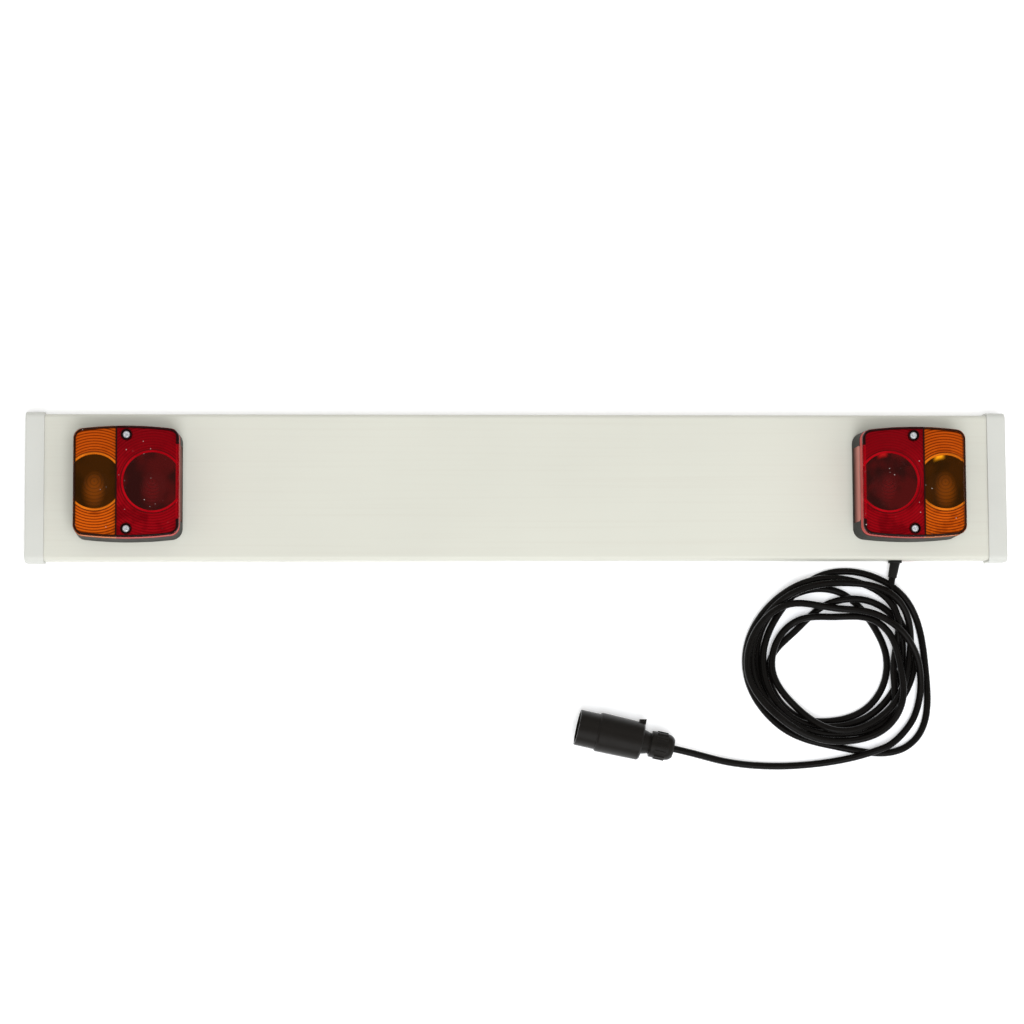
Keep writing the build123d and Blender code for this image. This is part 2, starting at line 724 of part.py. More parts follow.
feed_x = lamp_x + first_lead_hole
link_right_x = lamp_x + second_lead_hole
link_left_x = -lamp_x - first_lead_hole
lead_y = lamp_rise + lead_hole_rise
lead_top = panel_depth + base_floor + lead_stub
feed_start = Vector(lead_in_points[0])
feed_bend_radius = min(lead_bend_radius, panel_inside - grommet_flange - gland_height)

with BuildPart() as feed_lead:
    with BuildLine() as feed_line:
        FilletPolyline(
            feed_start,
            (feed_start.X, feed_start.Y + feed_straight, feed_start.Z),
            (feed_x, feed_start.Y + feed_straight + feed_slant, feed_start.Z),
            (feed_x, lead_y, feed_start.Z),
            (feed_x, lead_y, lead_top),
            radius=[feed_slant_radius, feed_slant_radius, feed_bend_radius],
        )
    with BuildSketch(Plane(feed_line.line @ 0, z_dir=feed_line.line % 0)):
        Circle(cable_diameter / 2)
    sweep()
feed_lead.part.label = "feed_lead"
export_step(feed_lead.part, "parts/feed_lead.step")

with BuildPart() as link_lead:
    with BuildLine() as link_line:
        FilletPolyline(
            (link_right_x, lead_y, lead_top),
            (link_right_x, lead_y, link_height),
            (link_left_x, lead_y, link_height),
            (link_left_x, lead_y, lead_top),
            radius=[lead_bend_radius, lead_bend_radius],
        )
    with BuildSketch(Plane(link_line.line @ 0, z_dir=link_line.line % 0)):
        Circle(link_diameter / 2)
    sweep()
link_lead.part.label = "link_lead"
export_step(link_lead.part, "parts/link_lead.step")

link_middle = ((link_right_x + link_left_x) / 2, lead_y, link_height)
clip_plane = Plane(link_middle, x_dir=(0, 1, 0), z_dir=(1, 0, 0))
with BuildPart() as cable_clips:
    for place in range(clip_count):
        along = (place - (clip_count - 1) / 2) * clip_spacing
        with BuildSketch(clip_plane.offset(along)):
            Circle(link_diameter / 2 + lead_fit + clip_wall)
            Rectangle(clip_stem, panel_inside - link_height, align=(Align.CENTER, Align.MIN))
            with Locations((0, panel_inside - link_height)):
                Rectangle(clip_pad_length, clip_pad, align=(Align.CENTER, Align.MAX))
            Circle(link_diameter / 2 + lead_fit, mode=Mode.SUBTRACT)
        extrude(amount=clip_width / 2, both=True)
cable_clips.part.label = "cable_clips"
export_step(cable_clips.part, "parts/cable_clips.step")
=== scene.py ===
import math

import bmesh
import bpy
from mathutils import Matrix, Vector
from mathutils.geometry import interpolate_bezier


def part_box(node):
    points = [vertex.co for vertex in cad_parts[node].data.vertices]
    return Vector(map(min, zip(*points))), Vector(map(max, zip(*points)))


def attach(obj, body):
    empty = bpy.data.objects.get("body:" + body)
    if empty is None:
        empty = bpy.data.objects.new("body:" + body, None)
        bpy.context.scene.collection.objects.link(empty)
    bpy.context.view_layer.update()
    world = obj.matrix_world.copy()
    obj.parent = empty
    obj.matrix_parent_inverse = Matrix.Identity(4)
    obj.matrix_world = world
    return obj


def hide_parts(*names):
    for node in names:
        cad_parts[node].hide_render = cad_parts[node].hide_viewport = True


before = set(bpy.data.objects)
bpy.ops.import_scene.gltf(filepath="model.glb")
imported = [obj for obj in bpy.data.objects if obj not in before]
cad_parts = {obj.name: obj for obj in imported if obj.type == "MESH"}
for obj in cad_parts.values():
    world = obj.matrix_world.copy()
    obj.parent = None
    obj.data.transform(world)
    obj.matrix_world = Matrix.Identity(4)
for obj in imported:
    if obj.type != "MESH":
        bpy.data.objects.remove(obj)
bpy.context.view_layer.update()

# The board panel is a white PVC extrusion, a shallow channel that is open at its back.
# It comes out of the die with faint lengthwise streaks and yellows a little with age.
# All places are the frame's own metres, so mm turns a maker's size into them.
mm = 0.001


def put(tree, kind, values=None, **settings):
    """Adds one shader node: settings are its properties, values are numbers or links for its sockets."""
    node = tree.nodes.new("ShaderNode" + kind)
    for name, value in settings.items():
        setattr(node, name, value)
    for socket, value in (values or {}).items():
        if isinstance(value, bpy.types.NodeSocket):
            tree.links.new(value, node.inputs[socket])
        else:
            node.inputs[socket].default_value = value
    return node


def calc(tree, operation, first, second=0.0):
    """Adds a Math node and gives its result."""
    return put(tree, "Math", {0: first, 1: second}, operation=operation).outputs[0]


def times(tree, first, *others):
    """Product of numbers or links."""
    for other in others:
        first = calc(tree, "MULTIPLY", first, other)
    return first


def minus(tree, first, second):
    """First number or link less the second."""
    return calc(tree, "SUBTRACT", first, second)


def size_of(tree, value):
    """A value without its sign."""
    return calc(tree, "ABSOLUTE", value)


def ramp(tree, value, start, end, low=0.0, high=1.0):
    """Turns a value smoothly from low at start to high at end."""
    limits = {"Value": value, "From Min": start, "From Max": end, "To Min": low, "To Max": high}
    return put(tree, "MapRange", limits, interpolation_type="SMOOTHSTEP").outputs[0]


def tint(tree, factor, first, second):
    """Mixes two colours by a factor."""
    return put(tree, "Mix", {0: factor, 6: first, 7: second}, data_type="RGBA").outputs[2]


def own_place(tree, stretch=(1, 1, 1)):
    """Place on the piece in the frame's metres, with each direction stretched."""
    place = put(tree, "TexCoord").outputs["Object"]
    return put(tree, "Mapping", {"Vector": place, "Scale": stretch}).outputs["Vector"]


def own_axes(tree, stretch=(1, 1, 1)):
    """X, Y and Z of the place on the piece."""
    return put(tree, "SeparateXYZ", {"Vector": own_place(tree, stretch)}).outputs


def noise(tree, scale, detail=2.0, stretch=(1, 1, 1)):
    """Cloudy value between 0 and 1 that is fixed to the piece."""
    clouds = {"Vector": own_place(tree, stretch), "Scale": scale, "Detail": detail}
    return put(tree, "TexNoise", clouds).outputs["Fac"]


def bumped(tree, height, strength, depth, **more):
    """Normal of a surface with a fine relief on it."""
    relief = {"Height": height, "Strength": strength, "Distance": depth, **more}
    return put(tree, "Bump", relief).outputs["Normal"]


def effect(name, inputs, outputs):
    """Starts a node group: gives the group, its inputs and the sockets of its outputs."""
    group = bpy.data.node_groups.new(name, "ShaderNodeTree")
    for socket, value in inputs.items():
        kind = "NodeSocketFloat" if isinstance(value, float) else "NodeSocketColor"
        group.interface.new_socket(socket, in_out="INPUT", socket_type=kind).default_value = value
    for socket, kind in outputs.items():
        group.interface.new_socket(socket, in_out="OUTPUT", socket_type="NodeSocket" + kind)
    return group, group.nodes.new("NodeGroupInput").outputs, group.nodes.new("NodeGroupOutput").inputs


def shared(tree, group, **values):
    """Lays a shared effect in a tree and gives its outputs."""
    return put(tree, "Group", values, node_tree=group).outputs


def wire(tree, sockets, **sources):
    """Links sources to the sockets of their names, where an underscore stands for a space."""
    for name, source in sources.items():
        tree.links.new(source, sockets[name.replace("_", " ")])


def finish_of(name, **plain):
    """New material: gives it, its tree and its shader's sockets, with the plain values set on them."""
    material = bpy.data.materials.new(name)
    material.use_nodes = True
    shader = material.node_tree.nodes["Principled BSDF"].inputs
    for socket, value in plain.items():
        shader[socket.replace("_", " ")].default_value = value
    return material, material.node_tree, shader


def paint_nodes(material, *names):
    """Gives a finish to CAD nodes that stay as they are."""
    for name in names:
        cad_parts[name].material_slots[0].material = material


tone_drift, given, result = effect(
    "tone_drift", {"Colour": (1, 1, 1, 1), "Depth": 0.1, "Scale": 10.0}, {"Colour": "Color"}
)
clouds = noise(tone_drift, given["Scale"], 4.0)
drift = times(tone_drift, minus(tone_drift, clouds, 0.5), given["Depth"])
lightness = calc(tone_drift, "ADD", drift, 1.0)
drifted = put(tone_drift, "HueSaturation", {"Color": given["Colour"], "Value": lightness})
wire(tone_drift, result, Colour=drifted.outputs["Color"])

handling_marks, given, result = effect(
    "handling_marks",
    {"Base": 0.4, "Spread": 0.2, "Scale": 40.0},
    {"Roughness": "Float", "Rubbed": "Float"},
)
smears = noise(handling_marks, given["Scale"], 6.0)
scratches = noise(handling_marks, times(handling_marks, given["Scale"], 6.0), stretch=(1, 9, 4))
rubbed = times(handling_marks, smears, scratches)
spread = times(handling_marks, minus(handling_marks, rubbed, 0.25), given["Spread"])
wire(
    handling_marks,
    result,
    Roughness=calc(handling_marks, "ADD", given["Base"], spread),
    Rubbed=ramp(handling_marks, rubbed, 0.3, 0.5),
)

pvc_white = (0.600, 0.597, 0.525, 1)
pvc_scuff = (0.28, 0.15, 0.10, 1)
scuff_middle = 366 * mm
scuff_half = 18 * mm
scuff_core = 8 * mm
scuff_top = 14 * mm
scuff_full = 7 * mm
lower_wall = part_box("board_panel")[0][1]

panel_pvc, tree, shader = finish_of("panel_pvc", Specular_IOR_Level=0.4)
streaks = noise(tree, 6.0, 5.0, (0.6, 60, 60))
mottled = shared(tree, tone_drift, Colour=pvc_white, Depth=0.09, Scale=7.0)["Colour"]
streaked = tint(tree, ramp(tree, streaks, 0.45, 0.8, 0.0, 0.05), mottled, pvc_scuff)
place = own_axes(tree)
from_scuff = size_of(tree, minus(tree, place["X"], scuff_middle))
smear = ramp(tree, noise(tree, 420.0, 5.0, (0.2, 1, 1)), 0.35, 0.55)
on_wall = ramp(tree, place["Y"], lower_wall + 1.6 * mm, lower_wall + 0.4 * mm)
at_foot = ramp(tree, place["Z"], scuff_top, scuff_full, 0.0, 0.9)
scuff = times(tree, ramp(tree, from_scuff, scuff_half, scuff_core), smear, on_wall, at_foot)
marks = shared(tree, handling_marks, Base=0.42, Spread=0.35, Scale=18.0)
wire(
    tree,
    shader,
    Base_Color=tint(tree, scuff, streaked, pvc_scuff),
    Roughness=marks["Roughness"],
    Normal=bumped(tree, streaks, 0.12, 0.2 * mm),
)
paint_nodes(panel_pvc, "board_panel")

# The end caps are two greyer mouldings, each a sleeve with a hollow tongue, pushed on the panel's ends.
# Their tool was lightly spark-eroded, so the faces have an even fine grain and softly rounded edges.
# Corners that knock on gateposts and garage floors are rubbed pale.
moulded_grain, given, result = effect("moulded_grain", {"Scale": 900.0}, {"Height": "Float"})
pits = put(moulded_grain, "TexVoronoi", {"Vector": own_place(moulded_grain), "Scale": given["Scale"]})
swirl = noise(moulded_grain, given["Scale"], 3.0)
wire(moulded_grain, result, Height=calc(moulded_grain, "ADD", pits.outputs["Distance"], swirl))

edge_rub, given, result = effect(
    "edge_rub", {"Radius": 1.0 * mm, "Scale": 120.0}, {"Mask": "Float", "Normal": "Vector"}
)
rounded = put(edge_rub, "Bevel", {"Radius": given["Radius"]}, samples=4).outputs["Normal"]
flat = put(edge_rub, "NewGeometry").outputs["Normal"]
likeness = put(edge_rub, "VectorMath", {0: rounded, 1: flat}, operation="DOT_PRODUCT").outputs["Value"]
near_edge = ramp(edge_rub, likeness, 0.98, 0.78)
chips = ramp(edge_rub, noise(edge_rub, given["Scale"], 4.0), 0.42, 0.62)
wire(edge_rub, result, Mask=times(edge_rub, near_edge, chips), Normal=rounded)


def moulded(
    name, colour, rub_colour, roughness, drift_scale=25.0, grain_scale=900.0, grain_depth=0.12, **plain
):
    """Finish of a grained moulding: drifting tone, rubbed edges, handled gloss and spark-eroded grain."""
    material, tree, shader = finish_of(name, **plain)
    mottle = shared(tree, tone_drift, Colour=colour, Depth=0.16, Scale=drift_scale)["Colour"]
    rub = shared(tree, edge_rub, Radius=0.7 * mm, Scale=160.0)
    marks = shared(tree, handling_marks, Base=roughness, Spread=0.4, Scale=30.0)
    grain = shared(tree, moulded_grain, Scale=grain_scale)["Height"]
    wire(
        tree,
        shader,
        Base_Color=tint(tree, times(tree, rub["Mask"], 0.6), mottle, rub_colour),
        Roughness=marks["Roughness"],
        Normal=bumped(tree, grain, grain_depth, 0.15 * mm, Normal=rub["Normal"]),
    )
    return material


cap_grey = (0.585, 0.590, 0.548, 1)
cap_rubbed = (0.68, 0.685, 0.66, 1)
cap_plastic = moulded("cap_plastic", cap_grey, cap_rubbed, 0.4, drift_scale=12.0)
paint_nodes(cap_plastic, "left_end_cap", "right_end_cap")

# The leads run in the channel behind the panel: a feed from the gland to the right lamp
# and a link from there to the left lamp, round PVC sheaths held by nylon clips.
# Soft rubber grommets line the holes where they go into the lamps.
sheath_black = (0.0030, 0.0025, 0.0022, 1)
sheath_rubbed = (0.011, 0.0095, 0.0082, 1)
nylon_pale = (0.62, 0.60, 0.53, 1)
nylon_rubbed = (0.72, 0.71, 0.66, 1)
rubber_black = (0.008, 0.0075, 0.007, 1)
rubber_bloom = (0.05, 0.048, 0.045, 1)

cable_sheath, tree, shader = finish_of("cable_sheath", Specular_IOR_Level=0.13)
marks = shared(tree, handling_marks, Base=0.27, Spread=0.5, Scale=55.0)
mottle = shared(tree, tone_drift, Colour=sheath_black, Depth=0.5, Scale=60.0)["Colour"]
wire(
    tree,
    shader,
    Base_Color=tint(tree, times(tree, marks["Rubbed"], 0.6), mottle, sheath_rubbed),
    Roughness=marks["Roughness"],
    Normal=bumped(tree, noise(tree, 700.0), 0.15, 0.12 * mm),
)
paint_nodes(cable_sheath, "feed_lead", "link_lead", "plug_cable_end")
clip_nylon = moulded("clip_nylon", nylon_pale, nylon_rubbed, 0.38)
paint_nodes(clip_nylon, "cable_clips")
black_rubber = moulded(
    "black_rubber", rubber_black, rubber_bloom, 0.62, grain_scale=600.0, Specular_IOR_Level=0.2
)
paint_nodes(black_rubber, "feed_grommet_right", "link_grommet_right", "link_grommet_left")

# The lamp bases are black moulded housings with a bulkhead between the two bulbs and a pillar for each
# lens screw. Rain and road dust leave a grey film in the grain of their walls. The pink light of the lens on
# the wall's rail over the right lamp's window is painted into its colour. Sizes that the lenses share are in
# millimetres.
housing_black = (0.015, 0.0145, 0.014, 1)
housing_rubbed = (0.07, 0.07, 0.068, 1)
housing_dust = (0.10, 0.096, 0.088, 1)
rail_painted_pink_light = (0.46, 0.185, 0.160, 1)
lamp_middle = (361.5, 0.7)
window_half = 34
window_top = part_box("plate_lamp_window_right")[1][2] / mm
inner_wall = 316
in_millimetres = (1000, 1000, 1000)

settled_dust, given, result = effect(
    "settled_dust", {"Scale": 300.0, "Amount": 0.5}, {"Specks": "Float", "Film": "Float"}
)
cell_place = {"Vector": own_place(settled_dust), "Scale": given["Scale"]}
cells = put(settled_dust, "TexVoronoi", cell_place).outputs
chance = put(settled_dust, "SeparateColor", {"Color": cells["Color"]}).outputs[0]
chosen = ramp(settled_dust, chance, minus(settled_dust, 1.0, given["Amount"]), 1.0)
speck = ramp(settled_dust, cells["Distance"], 0.13, 0.05)
haze = noise(settled_dust, times(settled_dust, given["Scale"], 0.2), 6.0)
wire(
    settled_dust,
    result,
    Specks=times(settled_dust, speck, calc(settled_dust, "CEIL", chosen)),
    Film=ramp(settled_dust, haze, 0.42, 0.75),
)

black_plastic = moulded(
    "black_plastic",
    housing_black,
    housing_rubbed,
    0.45,
    grain_scale=750.0,
    grain_depth=0.2,
    Specular_IOR_Level=0.06,
)
tree = black_plastic.node_tree
shader = tree.nodes["Principled BSDF"].inputs
clean_black = shader["Base Color"].links[0].from_socket
film = shared(tree, settled_dust, Scale=420.0, Amount=0.3)["Film"]
dusty_black = tint(tree, times(tree, film, 0.1), clean_black, housing_dust)
place = own_axes(tree, in_millimetres)
# Mask of the rail over the right lamp's window, where the pink light of the lens is painted.
on_right = ramp(tree, place["X"], 0.0, 1.0)
on_inner_wall = ramp(tree, place["X"], inner_wall + 1.0, inner_wall)
over_window = ramp(tree, place["Z"], window_top, window_top + 0.3)
from_middle = size_of(tree, minus(tree, place["Y"], lamp_middle[1]))
along_window = ramp(tree, from_middle, window_half + 0.3, window_half)
on_rail = times(tree, over_window, along_window, on_right, on_inner_wall)
wire(tree, shader, Base_Color=tint(tree, on_rail, dusty_black, rail_painted_pink_light))
paint_nodes(black_plastic, "lamp_base_left", "lamp_base_right")

# Two bolts hold each lamp on the panel, with a washer and a nut behind it.
# They are zinc-plated steel: hexagons with turned chamfers, and a rolled thread on the bolts.
# The bright plating has a pale oxide bloom in places.
bolt_diameter = 6 * mm
bolt_head_height = 4 * mm
thread_pitch = 1 * mm
thread_depth = 0.55 * mm
nut_clearance = 0.1 * mm
hexagon_across = 10 * mm
hexagon_face_radius = 0.48 * hexagon_across
hexagon_chamfer = math.radians(30)
ring_segments = 72
zinc_bright = (0.84, 0.85, 0.88, 1)
zinc_bloom = (0.62, 0.63, 0.64, 1)


def piece(name, mesh, material, slot, *nodes):
    """Sets a new piece in the frame, in place of CAD nodes where it stands for them."""
    made = bpy.data.objects.new(name, mesh)
    bpy.context.scene.collection.objects.link(made)
    made.data.materials.append(material)
    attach(made, "root")
    if nodes:
        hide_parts(*nodes)
    return made


def ring_mesh(shells, name, sharp=math.radians(35)):
    """Mesh of closed turned shells: each is a place and a list of rings of points about it."""
    build = bmesh.new()
    for place, rings in shells:
        rows = [[build.verts.new(place @ point) for point in ring] for ring in rings]
        for low, high in zip(rows, rows[1:]):
            for start in range(len(low)):
                end = (start + 1) % len(low)
                build.faces.new((low[start], low[end], high[end], high[start]))
        build.faces.new(list(reversed(rows[0])))
        build.faces.new(rows[-1])
    bmesh.ops.recalc_face_normals(build, faces=build.faces)
    for edge in build.edges:
        edge.smooth = len(edge.link_faces) < 2 or edge.calc_face_angle(0) < sharp
    for face in build.faces:
        face.smooth = True
    mesh = bpy.data.meshes.new(name)
    build.to_mesh(mesh)
    build.free()
    return mesh


def ring_at(radius, height):
    """One ring of points: its radius and height are numbers or rules of the angle."""
    points = []
    for step in range(ring_segments):
        angle = 2 * math.pi * step / ring_segments
        reach = radius(angle) if callable(radius) else radius
        rise = height(angle) if callable(height) else height
        points.append(Vector((reach * math.cos(angle), reach * math.sin(angle), rise)))
    return points


def hexagon_reach(angle):
    """Distance from a hexagon's middle to its side at an angle."""
    return hexagon_across / 2 / math.cos((angle + math.pi / 6) % (math.pi / 3) - math.pi / 6)


def chamfer_drop(angle):
    """How far the turned chamfer lowers a hexagon's rim at an angle."""
    return (hexagon_reach(angle) - hexagon_face_radius) * math.tan(hexagon_chamfer)


def hexagon_rings(low, high, bore):
    """Rings of a hexagon between two heights, chamfered at both faces, from its bore round to its bore."""
    return [
        ring_at(bore, low),
        ring_at(hexagon_face_radius, low),
        ring_at(hexagon_reach, lambda angle: low + chamfer_drop(angle)),
        ring_at(hexagon_reach, lambda angle: high - chamfer_drop(angle)),
        ring_at(hexagon_face_radius, high),
        ring_at(bore, high),
    ]


def thread_rings(low, high, radius, pitch, depth, steps=6):
    """Rings of a rolled thread between two heights, running out at both ends."""
    rings = []
    count = round((high - low) / pitch * steps)
    for step in range(count + 1):
        height = low + (high - low) * step / count
        run_out = min(1, (height - low) / pitch, (high - height) / pitch)

        def crest(angle):
            turn = (height / pitch - angle / (2 * math.pi)) % 1
            return radius - depth * (1 - run_out * abs(1 - 2 * turn))

        rings.append(ring_at(crest, height))
    return rings


def middles(node):
    """Middle of each of a node's two fasteners, which stand one above the other along Y."""
    low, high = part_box(node)
    half_width = (high[0] - low[0]) / 2
    ends = (low[1] + half_width, high[1] - half_width)
    return [Vector(((low[0] + high[0]) / 2, end, 0)) for end in ends]


zinc_steel, tree, shader = finish_of("zinc_steel")
marks = shared(tree, handling_marks, Base=0.3, Spread=0.5, Scale=220.0)
spangle = shared(tree, tone_drift, Colour=zinc_bright, Depth=0.3, Scale=400.0)["Colour"]
wire(
    tree,
    shader,
    Base_Color=tint(tree, times(tree, marks["Rubbed"], 0.7), spangle, zinc_bloom),
    Metallic=ramp(tree, marks["Rubbed"], 0.0, 1.0, 0.7, 0.3),
    Roughness=marks["Roughness"],
    Normal=bumped(tree, noise(tree, 2500.0), 0.08, 0.05 * mm),
)
for side in ("left", "right"):
    bolt_low, bolt_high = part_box(f"base_bolts_{side}")
    head_low = bolt_high[2] - bolt_head_height
    bolt_rings = thread_rings(bolt_low[2], head_low, bolt_diameter / 2, thread_pitch, thread_depth)
    bolt_rings += hexagon_rings(head_low, bolt_high[2], bolt_diameter / 4)[1:]
    nut_low, nut_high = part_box(f"base_nuts_{side}")
    nut_rings = hexagon_rings(nut_low[2], nut_high[2], bolt_diameter / 2 + nut_clearance)
    places = [Matrix.Translation(middle) for middle in middles(f"base_washers_{side}")]
    bolt_mesh = ring_mesh([(place, bolt_rings) for place in places], f"threaded_bolts_{side}")
    piece(f"threaded_bolts_{side}", bolt_mesh, zinc_steel, "zinc_steel", f"base_bolts_{side}")
    nut_mesh = ring_mesh([(place, nut_rings) for place in places], f"chamfered_nuts_{side}")
    piece(f"chamfered_nuts_{side}", nut_mesh, zinc_steel, "zinc_steel", f"base_nuts_{side}")
    paint_nodes(zinc_steel, f"base_washers_{side}")
    paint_nodes(zinc_steel, f"indicator_bulb_holder_{side}", f"stop_tail_bulb_holder_{side}")

# The bulbs lie along the lamp in plated holders: a blown clear glass envelope
# cemented in a brass bayonet cap, whose end is rolled over the glass.
# The sizes run along the bulb from the middle of its glass.
bulb_radius = 13 * mm
bulb_neck_radius = 6.8 * mm
bulb_neck_flare = 0.06 * bulb_neck_radius
bulb_cap_radius = 7.5 * mm
bulb_cap_end = -20.5 * mm
bulb_tip = -39 * mm
bulb_tip_radius = 3 * mm
cap_groove = 0.4 * mm
glass_steps = 24
flare_steps = 3
glass_clear = (0.86, 0.86, 0.83, 1)
cap_bright = (0.56, 0.42, 0.20, 1)
cap_tarnish = (0.26, 0.18, 0.08, 1)


def envelope_rings():
    """Rings of the glass, from inside the cap up its neck and round to its crown."""
    neck_angle = math.pi - math.asin(bulb_neck_radius / bulb_radius)
    rings = [ring_at(bulb_neck_radius, bulb_cap_end - 2 * mm)]
    for step in range(glass_steps):
        angle = neck_angle * (1 - step / glass_steps)
        flare = bulb_neck_flare * max(0, 1 - step / flare_steps)
        rings.append(ring_at(bulb_radius * math.sin(angle) + flare, bulb_radius * math.cos(angle)))
    return rings


def cap_rings():
    """Rings of the brass cap, from its soldered tip to the lip that is rolled over the glass."""
    profile = [
        (bulb_tip_radius / 3, bulb_tip),
        (bulb_tip_radius, bulb_tip + 0.2 * mm),
        (bulb_cap_radius - 1.2 * mm, bulb_tip + 1 * mm),
        (bulb_cap_radius, bulb_tip + 2.2 * mm),
        (bulb_cap_radius, bulb_cap_end - 3.4 * mm),
        (bulb_cap_radius - cap_groove, bulb_cap_end - 2.8 * mm),
        (bulb_cap_radius - cap_groove, bulb_cap_end - 2.2 * mm),
        (bulb_cap_radius, bulb_cap_end - 1.6 * mm),
        (bulb_cap_radius, bulb_cap_end - 0.4 * mm),
        (bulb_neck_radius + 0.3 * mm, bulb_cap_end),
        (bulb_neck_radius + 0.05 * mm, bulb_cap_end - 0.3 * mm),
    ]
    return [ring_at(radius, height) for radius, height in profile]


def brass(name, bright, tarnish, drift_scale):
    """Finish of turned or drawn brass that has tarnished where it is handled."""
    material, tree, shader = finish_of(name, Metallic=1.0)
    marks = shared(tree, handling_marks, Base=0.28, Spread=0.5, Scale=260.0)
    aged = shared(tree, tone_drift, Colour=bright, Depth=0.35, Scale=drift_scale)["Colour"]
    dulled = tint(tree, times(tree, marks["Rubbed"], 0.7), aged, tarnish)
    wire(tree, shader, Base_Color=dulled, Roughness=marks["Roughness"])
    return material


bulb_glass, tree, shader = finish_of("bulb_glass", Specular_IOR_Level=0.6, Alpha=0.35)
blown = shared(tree, tone_drift, Colour=glass_clear, Depth=0.1, Scale=90.0)["Colour"]
marks = shared(tree, handling_marks, Base=0.08, Spread=0.2, Scale=150.0)
wire(tree, shader, Base_Color=blown, Roughness=marks["Roughness"])
cap_brass = brass("cap_brass", cap_bright, cap_tarnish, 180.0)
lie_along = Matrix.Rotation(-math.pi / 2, 4, "X")
for side in ("left", "right"):
    bulb_nodes = [f"indicator_bulb_{side}", f"stop_tail_bulb_{side}"]
    places = []
    for node in bulb_nodes:
        low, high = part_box(node)
        glass_middle = Vector(((low[0] + high[0]) / 2, high[1] - bulb_radius, (low[2] + high[2]) / 2))
        places.append(Matrix.Translation(glass_middle) @ lie_along)
    envelopes = ring_mesh([(place, envelope_rings()) for place in places], f"bulb_envelopes_{side}")
    piece(f"bulb_envelopes_{side}", envelopes, bulb_glass, "bulb_glass", *bulb_nodes)
    caps = ring_mesh([(place, cap_rings()) for place in places], f"bulb_caps_{side}")
    piece(f"bulb_caps_{side}", caps, cap_brass, "contact_brass")

# The plate lamp window is a clear acrylic pane in the side of each lamp that faces the number plate.
# It is pushed in a cut of the base's wall. Weather has left it hazy. Its colour is painted shade at the
# bottom and the painted pink light of the lens towards the top, and the left pane is painted darker as shade.
# A rubber seal lies between base and lens, painted pale pink as if lit through the lens.
pane_painted_shade = (0.040, 0.024, 0.020, 1)
pane_painted_pink_light = (0.76, 0.30, 0.255, 1)
pane_haze = (0.50, 0.30, 0.27, 1)
seal_painted_pink_light = (0.20, 0.10, 0.09, 1)
seal_rubbed = (0.26, 0.18, 0.17, 1)
side_change = 0.1
pane_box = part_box("plate_lamp_window_left")

clear_acrylic, tree, shader = finish_of(
    "clear_acrylic", Specular_IOR_Level=0.0, Coat_Weight=0.06, Coat_Roughness=0.1
)
place = own_axes(tree)
# Painted light and shade: dark at the bottom, the lens's pink light towards the top, the left pane darker as
# shade.
toward_lens = ramp(tree, place["Z"], pane_box[0][2], pane_box[1][2])
left_pane_painted_shade = ramp(tree, place["X"], side_change, -side_change, 0.0, 0.7)
pane = tint(tree, left_pane_painted_shade, tint(tree, toward_lens, pane_painted_shade, pane_painted_pink_light), pane_painted_shade)
film = shared(tree, settled_dust, Scale=120.0, Amount=0.2)["Film"]
marks = shared(tree, handling_marks, Base=0.14, Spread=0.3, Scale=80.0)
wire(
    tree,
    shader,
    Base_Color=tint(tree, times(tree, film, 0.15), pane, pane_haze),
    Roughness=marks["Roughness"],
    Alpha=ramp(tree, film, 0.0, 1.0, 0.88, 0.95),
)
paint_nodes(clear_acrylic, "plate_lamp_window_left", "plate_lamp_window_right")
# The seal's colour is painted pale pink as if lit through the lens.
seal_rubber = moulded("seal_rubber", seal_painted_pink_light, seal_rubbed, 0.6, Specular_IOR_Level=0.1)
paint_nodes(seal_rubber, "lens_seal_left", "lens_seal_right")

# The lenses are tinted acrylic mouldings, an amber strip outside and a red part inside, welded at the divide.
# Saw-tooth ribs and a ring stand on their inner faces round the clear circle over each bulb. Their colours
# paint in
# light and shade: the field is painted bright for the light that the ribs send back and darker towards the
# top as shade, while the circle is painted dark for the shaded housing behind it, with a painted glow of the
# bulb.
lens_half = (48, 51)
lens_crown = 3.5
lens_corner = 9
lens_divide = 9
lens_front = 75
lens_thickness = 2
screw_rise = 43
optic_ring = 2
optic_pitch = 2.5
bulb_arc_pitch = 3.2
bulb_spread = (0.098, 0.058)
bulb_drop = 0.45
glint_inward = 5.5
glint_depth = 5
glint_sides = (6.5, 1.5)
skirt_band = (1.3, 0.9)
rim_outer = (0.2, 0.5)
rim_inner = (2.5, 1.9)
weld_line = (1.1, 0.5)
recess_edge = (5.1, 4.8)
strip_edge = (3.4 - lens_half[0], 2.6 - lens_half[0])
lens_dust = (0.7, 0.66, 0.62, 1)
amber_colours = {
    "field": (0.70, 0.118, 0.005, 1),
    "shade": (0.40, 0.054, 0.0018, 1),
    "groove": (0.13, 0.012, 0.0005, 1),
    "ring": (0.88, 0.22, 0.010, 1),
    "dark": (0.029, 0.0095, 0.0005, 1),
    "glow": (0.20, 0.044, 0.0013, 1),
    "skirt": (0.64, 0.20, 0.085, 1),
    "line": (0.018, 0.005, 0.002, 1),
    "glint": (0.95, 0.36, 0.006, 1),
}
red_colours = {
    "field": (0.315, 0.0026, 0.0066, 1),
    "shade": (0.165, 0.001, 0.0036, 1),
    "groove": (0.14, 0.0006, 0.003, 1),
    "ring": (0.50, 0.002, 0.008, 1),
    "dark": (0.031, 0.0052, 0.0044, 1),
    "glow": (0.115, 0.0058, 0.0058, 1),
    "skirt": (0.56, 0.095, 0.085, 1),
    "line": (0.013, 0.003, 0.003, 1),
    "glint": (0.40, 0.006, 0.007, 1),
}


def most(tree, first, *others):
    """Largest of numbers or links."""
    for other in others:
        first = calc(tree, "MAXIMUM", first, other)
    return first


